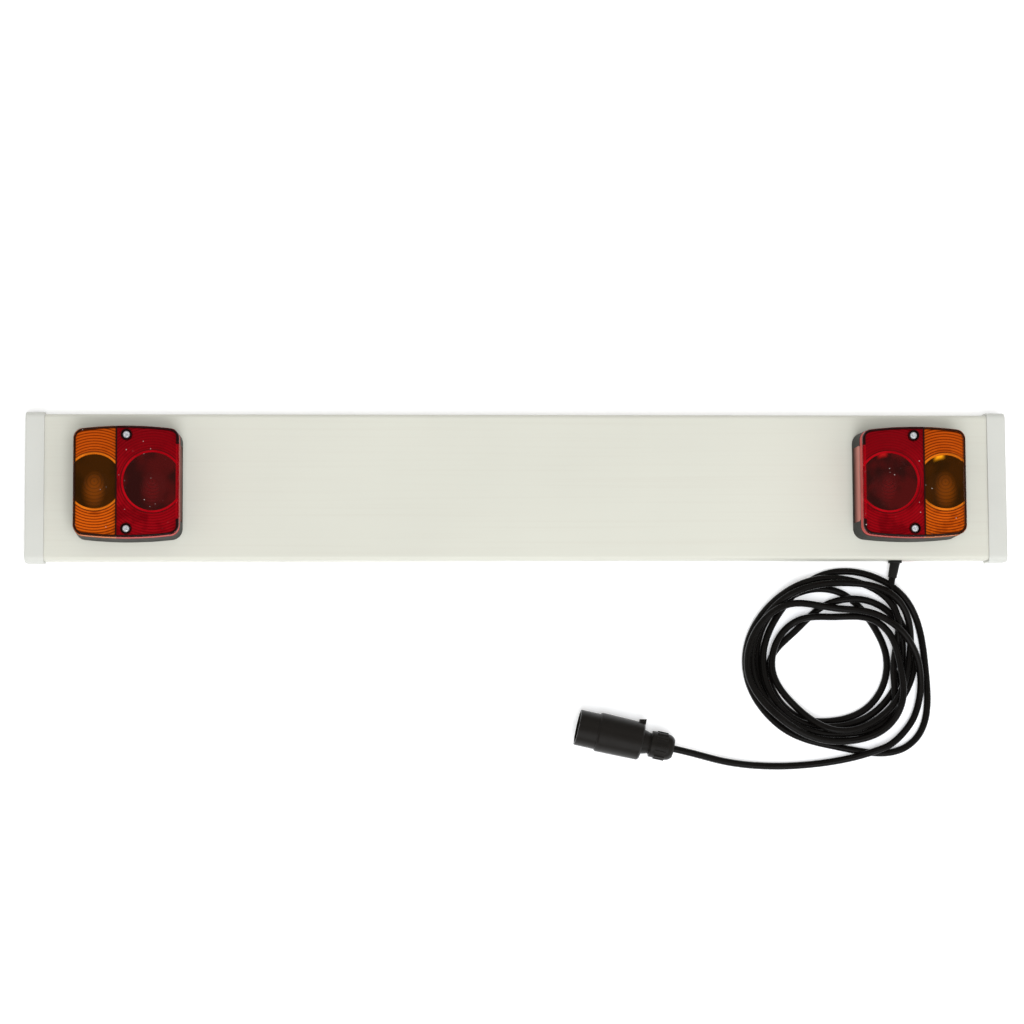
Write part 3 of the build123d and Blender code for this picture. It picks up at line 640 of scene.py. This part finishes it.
def far_from_middle(tree, across, up):
    """Distance of a point on the lens from the middle that it is measured from."""
    point = put(tree, "CombineXYZ", {"X": across, "Y": up}).outputs[0]
    return put(tree, "VectorMath", {0: point}, operation="LENGTH").outputs["Value"]


lens_place, _, result = effect(
    "lens_place", {}, {"Across": "Float", "Up": "Float", "Height": "Float", "Edge": "Float", "Right": "Float"}
)
place = own_axes(lens_place, in_millimetres)
across = minus(lens_place, size_of(lens_place, place["X"]), lamp_middle[0])
up = minus(lens_place, place["Y"], lamp_middle[1])
aside = size_of(lens_place, across)
bow = times(lens_place, calc(lens_place, "POWER", aside, 2.0), lens_crown / lens_half[0] ** 2)
past_side = minus(lens_place, aside, lens_half[0] - lens_corner)
past_end = minus(lens_place, size_of(lens_place, up), lens_half[1] - lens_corner)
past_end = calc(lens_place, "ADD", past_end, bow)
beyond = far_from_middle(lens_place, most(lens_place, past_side, 0.0), most(lens_place, past_end, 0.0))
within = calc(lens_place, "MINIMUM", most(lens_place, past_side, past_end), 0.0)
wire(
    lens_place,
    result,
    Across=across,
    Up=up,
    Height=place["Z"],
    Edge=minus(lens_place, lens_corner, calc(lens_place, "ADD", beyond, within)),
    Right=ramp(lens_place, place["X"], -1.0, 1.0),
)

optic_rings, given, result = effect(
    "optic_rings",
    {"Across": 0.0, "Up": 0.0, "Middle": 0.0, "Radius": 25.0},
    {
        "Circle": "Float",
        "Ring": "Float",
        "Outline": "Float",
        "Groove": "Float",
        "Glow": "Float",
        "Glint": "Float",
    },
)
across = minus(optic_rings, given["Across"], given["Middle"])
radius = far_from_middle(optic_rings, across, given["Up"])
past_circle = minus(optic_rings, radius, given["Radius"])
past_ring = minus(optic_rings, past_circle, optic_ring)
on_circle = ramp(optic_rings, past_circle, 0.15, -0.15)
on_field = ramp(optic_rings, past_circle, optic_ring - 0.2, optic_ring + 0.2)
on_rib = calc(optic_rings, "FRACT", calc(optic_rings, "DIVIDE", past_ring, optic_pitch))
groove = most(optic_rings, ramp(optic_rings, on_rib, 0.42, 0.12), ramp(optic_rings, on_rib, 0.88, 0.98))
from_outline = size_of(optic_rings, minus(optic_rings, past_circle, optic_ring + 0.6))
from_glint = size_of(optic_rings, calc(optic_rings, "ADD", across, glint_inward))
beside_glint = ramp(optic_rings, from_glint, *glint_sides)
under_ring = times(optic_rings, ramp(optic_rings, past_circle, -glint_depth, -1.0), on_circle)
in_upper_half = ramp(optic_rings, given["Up"], 0.0, 10.0)
bulb_across = times(optic_rings, across, bulb_spread[0])
bulb_up = calc(optic_rings, "ADD", times(optic_rings, given["Up"], bulb_spread[1]), bulb_drop)
from_bulb = far_from_middle(optic_rings, bulb_across, bulb_up)
on_arc = calc(optic_rings, "FRACT", calc(optic_rings, "DIVIDE", radius, bulb_arc_pitch))
arcs = ramp(optic_rings, on_arc, 0.4, 0.1, 1.0, 0.55)
# Masks of painted light and shade: Ring a painted bright ring, Outline a painted dark line outside it, Groove
# painted shade in each groove, Glow a painted glow of the bulb behind, Glint a painted glint under the ring.
wire(
    optic_rings,
    result,
    Circle=on_circle,
    Ring=minus(optic_rings, minus(optic_rings, 1.0, on_field), on_circle),
    Outline=ramp(optic_rings, from_outline, 0.75, 0.3),
    Groove=times(optic_rings, groove, on_field),
    Glow=times(optic_rings, ramp(optic_rings, from_bulb, 1.3, 0.2), arcs),
    Glint=times(optic_rings, beside_glint, under_ring, in_upper_half),
)


def lens_finish(name, middle, radius, colours, groove_depth, bulb_patches):
    """Finish of one lens: skin, skirt and ribbed back told apart by height and by distance from the edge."""
    material, tree, shader = finish_of(name, Specular_IOR_Level=0.02, Coat_Roughness=0.05)
    place = shared(tree, lens_place)
    optic = shared(tree, optic_rings, Across=place["Across"], Up=place["Up"], Middle=middle, Radius=radius)
    patchy = noise(tree, 38.0)
    cloud = ramp(tree, noise(tree, 75.0, 3.0), 0.46, 0.64)
    specks = shared(tree, settled_dust, Scale=180.0, Amount=0.3)["Specks"]
    marks = shared(tree, handling_marks, Base=0.5, Spread=0.3, Scale=70.0)

    # Painted shade: the field darkens towards the top, and in random clouds.
    upper = ramp(tree, place["Up"], 0.0, 0.8 * lens_half[1], 0.0, 0.75)
    shaded = most(tree, upper, times(tree, cloud, 0.8))
    field = tint(tree, shaded, colours["field"], colours["shade"])
    # Painted shade in the grooves, a painted highlight on the ring and a painted dark line outside it.
    ribbed = tint(tree, times(tree, optic["Groove"], groove_depth), field, colours["groove"])
    ringed = tint(tree, optic["Ring"], ribbed, colours["ring"])
    # The circle: painted dark for the shaded housing, with a painted glow of the bulb in arcs and patches.
    seen_bulb = most(tree, optic["Glow"], ramp(tree, patchy, 0.42, 0.6, 0.0, bulb_patches))
    # Painted glint under the top of the ring, on the right lamp only.
    glint = times(tree, optic["Glint"], place["Right"])
    clear = tint(tree, glint, tint(tree, seen_bulb, colours["dark"], colours["glow"]), colours["glint"])
    back = tint(tree, optic["Circle"], ringed, clear)
    outlined = tint(tree, times(tree, optic["Outline"], 0.85), ringed, colours["line"])
    skin = tint(tree, optic["Circle"], outlined, clear)

    skin_back = lens_front - lens_thickness
    on_front = ramp(tree, place["Height"], skin_back - 0.2, skin_back + 0.2)
    behind = minus(tree, 1.0, on_front)
    on_skirt = times(tree, behind, ramp(tree, place["Edge"], *skirt_band))
    rim = times(tree, ramp(tree, place["Edge"], *rim_outer), ramp(tree, place["Edge"], *rim_inner))
    from_weld = size_of(tree, minus(tree, place["Across"], lens_divide))
    from_level = size_of(tree, place["Up"])
    from_screw = far_from_middle(tree, place["Across"], minus(tree, from_level, screw_rise))
    recess = ramp(tree, from_screw, *recess_edge)
    # The inner strip beside the window is painted bright as caught light, the rest of it painted dark as
    # shade.
    inner_strip = ramp(tree, place["Across"], *strip_edge)
    beside_window = ramp(tree, from_level, window_half + 0.4, window_half - 0.4)
    lit_strip = times(tree, inner_strip, beside_window)
    unlit_strip = minus(tree, inner_strip, lit_strip)
    # The weld is a dark joint; the dark edge line, the rest of the inner strip and the screw recesses are
    # painted shade.
    lines = most(tree, rim, ramp(tree, from_weld, *weld_line))
    lines = most(tree, times(tree, lines, minus(tree, 1.0, lit_strip)), unlit_strip)
    dark_lines_and_painted_shade = most(tree, times(tree, lines, on_front), recess)
    dusty = times(tree, specks, times(tree, on_front, 0.7))

    colour = tint(tree, on_front, back, skin)
    colour = tint(tree, times(tree, lit_strip, on_front), colour, colours["ring"])
    colour = tint(tree, on_skirt, colour, colours["skirt"])
    colour = tint(tree, dark_lines_and_painted_shade, colour, colours["line"])
    colour = tint(tree, dusty, colour, lens_dust)

    skin_alpha = ramp(tree, optic["Circle"], 0.0, 1.0, 0.15, 0.4)
    back_alpha = ramp(tree, optic["Circle"], 0.0, 1.0, 1.0, 0.9)
    alpha = most(
        tree,
        calc(tree, "ADD", times(tree, on_front, skin_alpha), times(tree, behind, back_alpha)),
        times(tree, optic["Ring"], ramp(tree, patchy, 0.35, 0.6, 0.65, 0.25)),
        times(tree, optic["Outline"], 0.6),
        times(tree, lit_strip, 0.4),
        times(tree, on_skirt, 0.85),
        times(tree, glint, 0.8),
        times(tree, most(tree, dark_lines_and_painted_shade, dusty), 0.96),
    )
    wire(
        tree,
        shader,
        Base_Color=colour,
        Alpha=alpha,
        Roughness=marks["Roughness"],
        Coat_Weight=times(tree, on_front, ramp(tree, rim, 0.0, 1.0, 1.0, 0.25)),
    )
    return material


amber_acrylic = lens_finish("amber_acrylic", 28.8, 24.7, amber_colours, 0.85, 0.12)
red_acrylic = lens_finish("red_acrylic", -23.8, 26.5, red_colours, 0.5, 0.6)
paint_nodes(amber_acrylic, "amber_lens_left", "amber_lens_right")
paint_nodes(red_acrylic, "red_lens_left", "red_lens_right")

# Two lens screws go through each red lens into the base's pillars: pan heads with a cross recess,
# zinc-plated, each down in a recess of the lens that is painted dark as shade. Their shanks cut a thread in
# the pillar.
screw_head_radius = 3.3 * mm
screw_head_height = 2.4 * mm
screw_head_side = 1.2 * mm
screw_dome_power = 2.4
screw_dome_steps = 30
screw_shank_radius = 1.8 * mm
screw_length = 24 * mm
screw_tip_radius = 0.2 * mm
screw_point_length = 3 * mm
screw_thread_end = 1 * mm
screw_pitch = 1.4 * mm
screw_thread_depth = 0.5 * mm
cross_half_width = 0.62 * mm
cross_reach = 2.3 * mm
cross_depth = 1.7 * mm
cross_wall = 0.16 * mm
cross_run_out = 0.7 * mm
cross_turn = 0.35


def cross_cut(across, along):
    """Depth of the cross recess at a point of the head, with sloping walls and arms that run out."""
    arm = min(abs(across), abs(along))
    reach = max(abs(across), abs(along))
    wall = max(0, min(1, (cross_half_width - arm) / cross_wall + 0.5))
    run_out = max(0, min(1, (cross_reach - reach) / cross_run_out))
    return cross_depth * wall * run_out


def pan_head_rings(seat):
    """Rings from the shank's tip up to the middle of a domed head with a cross recess."""
    point = seat - screw_length + screw_point_length
    rings = [ring_at(screw_tip_radius, seat - screw_length), ring_at(screw_shank_radius, point)]
    rings += thread_rings(
        point, seat - screw_thread_end, screw_shank_radius, screw_pitch, screw_thread_depth, steps=4
    )
    rings += [ring_at(screw_shank_radius, seat), ring_at(screw_head_radius, seat)]
    rings.append(ring_at(screw_head_radius, seat + screw_head_side))
    for step in range(1, screw_dome_steps):
        share = 1 - step / screw_dome_steps
        radius = screw_head_radius * share
        rise = (screw_head_height - screw_head_side) * math.sqrt(1 - share**screw_dome_power)

        def top(angle):
            turned = angle + cross_turn
            cut = cross_cut(radius * math.cos(turned), radius * math.sin(turned))
            return seat + screw_head_side + rise - cut

        rings.append(ring_at(radius, top))
    return rings


for side in ("left", "right"):
    screw_node = f"lens_screws_{side}"
    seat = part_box(screw_node)[1][2] - screw_head_height
    places = [Matrix.Translation(middle) for middle in middles(screw_node)]
    screw_mesh = ring_mesh([(place, pan_head_rings(seat)) for place in places], f"cross_screws_{side}")
    piece(f"cross_screws_{side}", screw_mesh, zinc_steel, "zinc_steel", screw_node)

# The gland is a soft moulded strain relief with a flange and a tapered neck, in the same rubber as the
# grommets. It is sprung in a hole of the panel's lower wall, and the cable leaves through it.
paint_nodes(black_rubber, "cable_gland")

# The supply cable is a round PVC lead of about 3.5 m. It leaves the gland downwards, lies on the floor in
# seven loose turns wound by hand, which differ in size and lie across each other, and ends in the plug.
# Later turns lie on earlier ones. Routes and reaches are in millimetres.
cable_diameter = 6.5 * mm
gland = Vector((353.5, -68, 12))
lead_in_route = [(0, 8, 0), (0, -3, 0), (-2.5, -14, -0.3), (-3.9, -23, -1), (-3.3, -31.9, -2.4)]
lead_out_route = [
    (-4.5, -172, 9),
    (-21, -178.2, 8),
    (-42.5, -184.5, 5.8),
    (-71.5, -189.5, 3.6),
    (-105.5, -192, 3.5),
    (-136.5, -191, 3.8),
    (-161.5, -187.5, 7.5),
    (-181.5, -182.5, 14),
    (-198.1, -178.1, 18.5),
    (-211.7, -175, 18.5),
]
lead_in = [(gland + Vector(point)) * mm for point in lead_in_route]
lead_out = [Vector((gland.x + x, gland.y + y, z)) * mm for x, y, z in lead_out_route]
coil_middle = Vector((gland.x - 57.5, gland.y - 98)) * mm
coil_reaches = {
    "right": (76, 50, 64, 86, 55, 69, 60, 79),
    "lower_right": (68, 50, 58, 103, 70, 64, 74),
    "bottom": (66, 51.5, 57, 75.5, 64, 61, 71),
    "lower_left": (68, 61, 65, 77, 70, 54, 73),
    "left": (73, 62, 68, 84, 78.5, 60, 84),
    "upper_left": (77, 48.5, 72, 83, 79.5, 56, 76),
    "top": (71, 60, 88, 82, 77, 45.5, 53.5),
    "upper_right": (53, 72, 92, 78, 85, 57, 63),
}
steps_per_spoke = 9
points_per_turn = steps_per_spoke * len(coil_reaches)
arc_handle = 0.35
steepest_climb = 0.3
settling_rounds = 4
easing_rounds = 3
floor_height = cable_diameter / 2 + 0.2 * mm
lap_diameter = 1.2 * cable_diameter
turn_count = len(coil_reaches["right"]) - 1


def heading(before, here, after):
    """Direction of a smooth line through three points, which keeps closer to the shorter side."""
    arriving = here - before
    leaving = after - here
    return (arriving / arriving.length_squared + leaving / leaving.length_squared).normalized()


stops = [lead_in[-2].xy, lead_in[-1].xy]
for turn in range(turn_count + 1):
    for spoke, reaches in enumerate(coil_reaches.values()):
        if turn < len(reaches):
            angle = -2 * math.pi * spoke / len(coil_reaches)
            stops.append(coil_middle + reaches[turn] * mm * Vector((math.cos(angle), math.sin(angle))))
stops += [lead_out[0].xy, lead_out[1].xy]
coil_plan = []
for before, start, end, after in zip(stops, stops[1:], stops[2:], stops[3:]):
    handle = arc_handle * (end - start).length
    leave = start + handle * heading(before, start, end)
    arrive = end - handle * heading(start, end, after)
    coil_plan += interpolate_bezier(start, leave, arrive, end, steps_per_spoke + 1)[:-1]

crossings = []
for upper in range(points_per_turn // 2, len(coil_plan)):
    for lower in range(upper - points_per_turn // 2):
        gap = (coil_plan[upper] - coil_plan[lower]).length
        if gap < lap_diameter:
            crossings.append((upper, lower, min(cable_diameter, math.sqrt(lap_diameter**2 - gap**2))))
coil_heights = [lead_in[-1].z] + [floor_height] * (len(coil_plan) - 2) + [lead_out[0].z]
climbs = [(b - a).length * steepest_climb for a, b in zip(coil_plan, coil_plan[1:])]
for _ in range(settling_rounds):
    for upper, lower, rise in crossings:
        coil_heights[upper] = max(coil_heights[upper], coil_heights[lower] + rise)
    for index, climb in enumerate(climbs):
        coil_heights[index + 1] = max(coil_heights[index + 1], coil_heights[index] - climb)
    for index, climb in reversed(list(enumerate(climbs))):
        coil_heights[index] = max(coil_heights[index], coil_heights[index + 1] - climb)
for _ in range(easing_rounds):
    eased = [(a + 2 * b + c) / 4 for a, b, c in zip(coil_heights, coil_heights[1:], coil_heights[2:])]
    coil_heights[1:-1] = eased
coil = [Vector((*place, height)) for place, height in zip(coil_plan, coil_heights)]

cable_line = bpy.data.curves.new("supply_cable", "CURVE")
cable_line.dimensions = "3D"
cable_line.bevel_depth = cable_diameter / 2
cable_line.bevel_resolution = 5
cable_line.resolution_u = 6
cable_line.use_fill_caps = True
controls = [*lead_in, *coil[1:-1:2], *lead_out]
spline = cable_line.splines.new("NURBS")
spline.points.add(len(controls) - 1)
for control, point in zip(spline.points, controls):
    control.co = (*point, 1)
spline.order_u = 3
spline.use_endpoint_u = True
supply_cable = piece(
    "supply_cable", cable_line, cable_sheath, "cable_sheath", "cable_lead_in", "cable_coil", "cable_lead_out"
)

# The plug is a black seven-pin moulding: a shell with a stepped sleeve and a lug for the socket's lid,
# a contact carrier with brass pins inside, and a ribbed nut that squeezes a seal round the cable.
# The nut runs on a coarse thread that shows in the gap behind the shell's shoulder.
plug_black = (0.0086, 0.0074, 0.0064, 1)
plug_rubbed = (0.045, 0.041, 0.037, 1)
pin_bright = (0.60, 0.43, 0.17, 1)
pin_tarnish = (0.24, 0.15, 0.06, 1)
thread_start = 20.9 * mm
thread_end = 25 * mm
spigot_radius = 9.5 * mm
spigot_inset = 0.2 * mm
plug_thread_pitch = 1.5 * mm
plug_thread_depth = 0.75 * mm
thread_crest = spigot_radius + plug_thread_depth

plug_plastic = moulded(
    "plug_plastic",
    plug_black,
    plug_rubbed,
    0.36,
    drift_scale=50.0,
    grain_scale=800.0,
    Specular_IOR_Level=0.15,
)
paint_nodes(plug_plastic, "plug_shell", "plug_gland_nut", "plug_contact_carrier")
paint_nodes(black_rubber, "plug_cable_seal")
contact_brass = brass("contact_brass", pin_bright, pin_tarnish, 240.0)
paint_nodes(contact_brass, "plug_contacts")

plug_forward = (lead_out[-1] - lead_out[-2]).normalized()
plug_turn = plug_forward.to_track_quat("Z", "Y").to_matrix().to_4x4()
plug_place = Matrix.Translation(lead_out[-1]) @ plug_turn
plug_thread_rings = [
    ring_at(spigot_radius - spigot_inset, thread_start),
    *thread_rings(thread_start, thread_end, thread_crest, plug_thread_pitch, plug_thread_depth, steps=8),
    ring_at(spigot_radius - spigot_inset, thread_end),
]
plug_thread_mesh = ring_mesh([(plug_place, plug_thread_rings)], "plug_thread")
plug_thread = piece("plug_thread", plug_thread_mesh, plug_plastic, "black_plastic")

# The board lies on its back on pale paper that is faintly lit from below, under a soft dome that is dark
# round the camera. A large soft light hangs overhead, and a weaker one stands in front, to the right.
# The camera looks down on the board from the front and the left.
floor_pale = (0.94, 0.94, 0.94, 1)
floor_half = 12
floor_gap = 0.3 * mm
dome_warm = (1, 0.985, 0.925, 1)
light_cool = (0.925, 0.948, 1.0)
camera_place = Vector((-0.1846, -0.2563, 2.8695))
camera_aim = Vector((-0.0364, 0.0135, 0.040))
camera_roll = math.radians(-0.243)

floor_mesh = bpy.data.meshes.new("studio_floor")
corners = [
    (-floor_half, -floor_half),
    (floor_half, -floor_half),
    (floor_half, floor_half),
    (-floor_half, floor_half),
]
floor_mesh.from_pydata([(x, y, -floor_gap) for x, y in corners], [], [(0, 1, 2, 3)])
studio_floor = bpy.data.objects.new("studio_floor", floor_mesh)
bpy.context.scene.collection.objects.link(studio_floor)
floor_paper, tree, shader = finish_of(
    "floor_paper", Roughness=0.9, Specular_IOR_Level=0.1, Emission_Strength=0.2
)
paper = shared(tree, tone_drift, Colour=floor_pale, Depth=0.02, Scale=3.0)["Colour"]
wire(tree, shader, Base_Color=paper, Emission_Color=paper)
floor_mesh.materials.append(floor_paper)

dome = bpy.data.worlds.new("studio_dome")
dome.use_nodes = True
tree = dome.node_tree
sky = put(tree, "SeparateXYZ", {"Vector": put(tree, "TexCoord").outputs["Generated"]}).outputs
open_sky = ramp(tree, sky["Z"], 0.0, 0.9, 0.34, 0.74)
toward_front = ramp(tree, sky["Y"], -0.7, 0.7, 1.10, 0.76)
round_camera = ramp(tree, sky["Z"], 0.945, 0.968, 1.0, 0.08)
background = tree.nodes["Background"].inputs
background["Color"].default_value = dome_warm
wire(tree, background, Strength=times(tree, open_sky, toward_front, round_camera))
bpy.context.scene.world = dome


def soft_light(name, place, width, depth, power, mirrored=True):
    """Oblong soft light at a place, turned to the board, that glossy faces may or may not mirror."""
    lamp = bpy.data.lights.new(name, "AREA")
    lamp.color = light_cool
    lamp.shape = "RECTANGLE"
    lamp.size = width
    lamp.size_y = depth
    lamp.energy = power
    light = bpy.data.objects.new(name, lamp)
    light.location = place
    light.rotation_euler = (-Vector(place)).to_track_quat("-Z", "Y").to_euler()
    light.visible_glossy = mirrored
    bpy.context.scene.collection.objects.link(light)


soft_light("key_light", (0.4, -2.1, 1.8), 2.0, 2.0, 18)
soft_light("overhead_light", (0.02, -0.8, 4.2), 1.6, 2.4, 134, mirrored=False)

camera_data = bpy.data.cameras.new("camera")
camera_data.lens = 108.1
camera_data.sensor_width = 36
camera_data.shift_x = 0.03
camera_data.shift_y = -0.04
camera = bpy.data.objects.new("camera", camera_data)
forward = (camera_aim - camera_place).normalized()
right = forward.cross(Vector((0, 1, 0))).normalized()
upward = right.cross(forward)
right, upward = (
    math.cos(camera_roll) * right + math.sin(camera_roll) * upward,
    math.cos(camera_roll) * upward - math.sin(camera_roll) * right,
)
camera_turn = Matrix((right, upward, -forward)).transposed().to_4x4()
camera.matrix_world = Matrix.Translation(camera_place) @ camera_turn
bpy.context.scene.collection.objects.link(camera)
bpy.context.scene.camera = camera
bpy.context.scene.view_settings.view_transform = "Standard"
